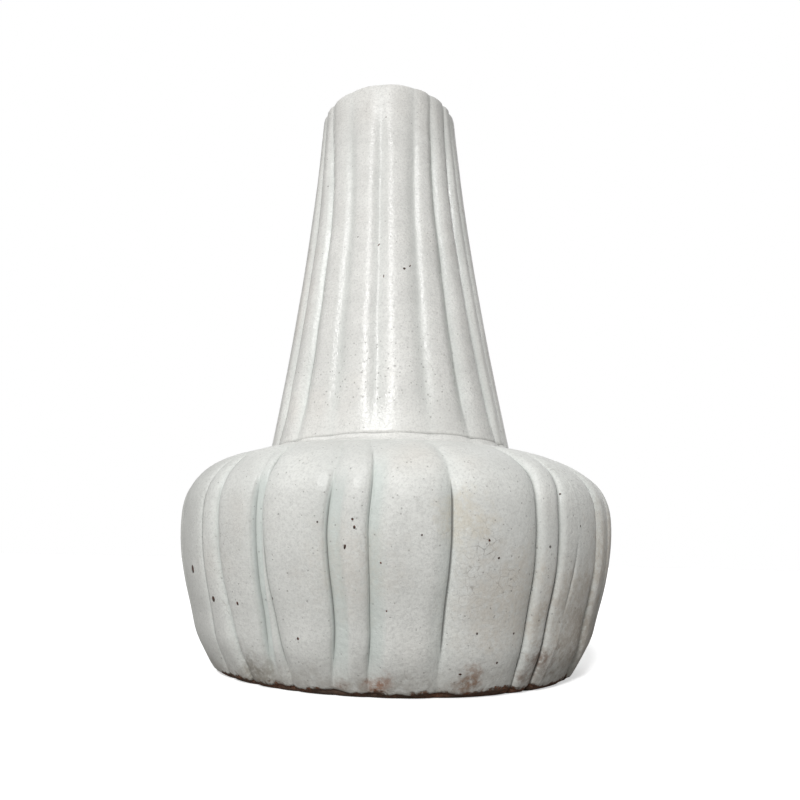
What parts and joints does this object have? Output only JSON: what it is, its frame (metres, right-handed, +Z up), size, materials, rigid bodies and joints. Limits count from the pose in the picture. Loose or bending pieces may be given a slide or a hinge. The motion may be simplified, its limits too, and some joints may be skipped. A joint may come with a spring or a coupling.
{
  "type": "fluted ceramic bottle vase",
  "caption": "Fluted stoneware bottle vase with a low lobed body, a long tapering neck, a grey-white glaze and a bare clay foot ring.",
  "frame": {"origin": "centre of the flat land of the foot ring, where the body's axis meets the surface the vase stands on", "axes": "+Z up along the body's axis, from the foot to the mouth; -Y is the side seen from the front; the neck stands a little towards -X"},
  "size_m": [0.1935, 0.1937, 0.2804],
  "materials": {
    "glaze": "grey-white feldspar glaze, glossy, bluish green where it pools in the creases, with iron specks and fine crazing",
    "lining_glaze": "the same grey-white glaze, poured thin inside",
    "bare_clay": "unglazed stoneware, rust brown, matt and gritty"
  },
  "bodies": {
    "root": {"foot_ring": "bare_clay", "floor_slab": "bare_clay", "body_wall": "bare_clay", "floor_seam_coil": "bare_clay", "neck_wall": "bare_clay", "neck_seam_coil": "bare_clay", "neck_seam_slip": "glaze", "body_glaze": "glaze", "neck_glaze": "glaze", "body_lining": "lining_glaze", "neck_lining": "lining_glaze"}
  },
  "joints": []
}
